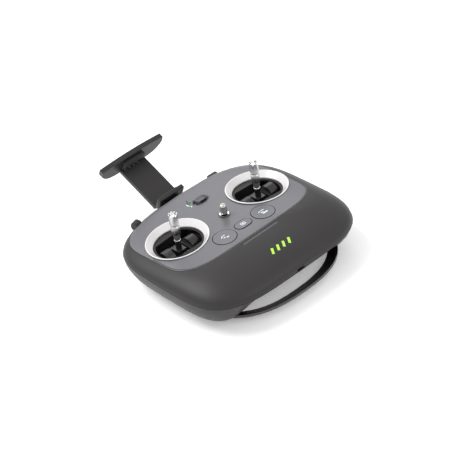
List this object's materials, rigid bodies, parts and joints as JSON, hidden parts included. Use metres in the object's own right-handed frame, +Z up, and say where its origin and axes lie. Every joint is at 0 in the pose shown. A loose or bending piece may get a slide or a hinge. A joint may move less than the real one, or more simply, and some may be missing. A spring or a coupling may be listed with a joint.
{
  "type": "radio transmitter controller",
  "caption": "Handheld radio transmitter with stick gimbals in a cambered deck, push buttons, a toggle, a spring phone clamp on a tilting arm and a bow carry handle.",
  "frame": {"origin": "centre of the bounding box on the plane the feet stand on", "axes": "+X to the operator's right, +Y away from the operator towards the phone clamp, +Z up"},
  "size_m": [0.173, 0.2181, 0.0673],
  "materials": {
    "charcoal_shell": "soft-touch charcoal, low sheen",
    "grey_deck": "fine satin metallic grey",
    "white_ring": "smooth pale ring, soft gloss",
    "dark_plastic": "fine moulded texture",
    "black_gloss": "polished black",
    "bright_aluminium": "turned and polished",
    "chrome": "plated",
    "steel_pin": "drawn bar",
    "brass": "turned",
    "rubber": "matt",
    "circuit_board": "solder-masked laminate",
    "battery_wrap": "shrink wrap",
    "smoked_lens": "smoked translucent strip"
  },
  "bodies": {
    "housing": {"upper_shell": "charcoal_shell", "rear_shell": "charcoal_shell", "faceplate": "grey_deck", "led_window": "smoked_lens", "mid_frame": "dark_plastic", "main_circuit_board": "circuit_board", "battery_pack": "battery_wrap", "aerial_strip_left": "brass", "aerial_strip_right": "brass", "gimbal_ring_left": "white_ring", "gimbal_cover_left": "dark_plastic", "gimbal_frame_left": "dark_plastic", "handle_mount_left": "dark_plastic", "handle_pin_left": "steel_pin", "foot_near_left": "rubber", "foot_far_left": "rubber", "gimbal_ring_right": "white_ring", "gimbal_cover_right": "dark_plastic", "gimbal_frame_right": "dark_plastic", "handle_mount_right": "dark_plastic", "handle_pin_right": "steel_pin", "foot_near_right": "rubber", "foot_far_right": "rubber", "toggle_nut": "chrome", "toggle_switch_body": "dark_plastic", "slider_tray": "grey_deck", "clamp_bracket": "dark_plastic", "clamp_hinge_pin": "steel_pin", "charge_port": "steel_pin"},
    "yoke_left": {"gimbal_yoke_left": "black_gloss"},
    "yoke_right": {"gimbal_yoke_right": "black_gloss"},
    "stick_left": {"stick_block_left": "black_gloss", "stick_nut_left": "brass", "stick_sleeve_left": "dark_plastic", "stick_grip_left": "bright_aluminium", "stick_cap_left": "bright_aluminium"},
    "stick_right": {"stick_block_right": "black_gloss", "stick_nut_right": "brass", "stick_sleeve_right": "dark_plastic", "stick_grip_right": "bright_aluminium", "stick_cap_right": "bright_aluminium"},
    "left_button": {"button_left": "grey_deck"},
    "right_button": {"button_right": "grey_deck"},
    "middle_button": {"button_middle": "grey_deck"},
    "toggle": {"toggle_lever": "chrome"},
    "slider": {"power_slider": "dark_plastic"},
    "dial": {"shoulder_dial": "dark_plastic"},
    "trigger_button": {"shoulder_button": "dark_plastic"},
    "clamp": {"near_jaw": "dark_plastic", "near_jaw_pad": "rubber", "arm_sleeve": "dark_plastic"},
    "clamp_jaw": {"arm_tongue": "dark_plastic", "far_jaw": "dark_plastic", "far_jaw_pad": "rubber"},
    "handle": {"carry_handle": "black_gloss"}
  },
  "joints": [
    {"name": "stick_left_forward", "type": "hinge", "parent": "housing", "child": "yoke_left", "pos_m": [-0.045, -0.0091, 0.028], "axis": [1, 0, 0], "range_deg": [-25, 25], "stiffness_Nm_per_rad": 0.09},
    {"name": "stick_left_sideways", "type": "hinge", "parent": "yoke_left", "child": "stick_left", "pos_m": [-0.045, -0.0091, 0.028], "axis": [0, 1, 0], "range_deg": [-25, 25], "stiffness_Nm_per_rad": 0.09},
    {"name": "stick_right_forward", "type": "hinge", "parent": "housing", "child": "yoke_right", "pos_m": [0.045, -0.0091, 0.028], "axis": [1, 0, 0], "range_deg": [-25, 25], "stiffness_Nm_per_rad": 0.09},
    {"name": "stick_right_sideways", "type": "hinge", "parent": "yoke_right", "child": "stick_right", "pos_m": [0.045, -0.0091, 0.028], "axis": [0, 1, 0], "range_deg": [-25, 25], "stiffness_Nm_per_rad": 0.09},
    {"name": "left_button_press", "type": "slide", "parent": "housing", "child": "left_button", "axis": [0, 0, -1], "range_m": [0, 0.001], "stiffness_N_per_m": 600, "springref_m": -0.0005},
    {"name": "right_button_press", "type": "slide", "parent": "housing", "child": "right_button", "axis": [0, 0, -1], "range_m": [0, 0.001], "stiffness_N_per_m": 600, "springref_m": -0.0005},
    {"name": "middle_button_press", "type": "slide", "parent": "housing", "child": "middle_button", "axis": [0, 0, -1], "range_m": [0, 0.001], "stiffness_N_per_m": 600, "springref_m": -0.0005},
    {"name": "toggle_flip", "type": "hinge", "parent": "housing", "child": "toggle", "pos_m": [0, -0.0181, 0.04361], "axis": [1, 0, 0], "range_deg": [-13, 13]},
    {"name": "power_slide", "type": "slide", "parent": "housing", "child": "slider", "axis": [1, 0, 0], "range_m": [-0.0016, 0]},
    {"name": "dial_turn", "type": "hinge", "parent": "housing", "child": "dial", "pos_m": [-0.0475, 0.0425, 0.0334], "axis": [0.9511, 0.309, 0], "range_deg": [-30, 30], "stiffness_Nm_per_rad": 0.01},
    {"name": "trigger_press", "type": "slide", "parent": "housing", "child": "trigger_button", "axis": [0, -1, 0], "range_m": [0, 0.0012], "stiffness_N_per_m": 600, "springref_m": -0.0005},
    {"name": "clamp_tilt", "type": "hinge", "parent": "housing", "child": "clamp", "pos_m": [0, 0.0524, 0.0215], "axis": [1, 0, 0], "range_deg": [-30, 30]},
    {"name": "clamp_open", "type": "slide", "parent": "clamp", "child": "clamp_jaw", "axis": [0, 0.9011, 0.4337], "range_m": [0, 0.034], "stiffness_N_per_m": 100, "springref_m": -0.02},
    {"name": "handle_swing", "type": "hinge", "parent": "housing", "child": "handle", "pos_m": [0, -0.0431, 0.0064], "axis": [1, 0, 0], "range_deg": [0, 95]}
  ]
}
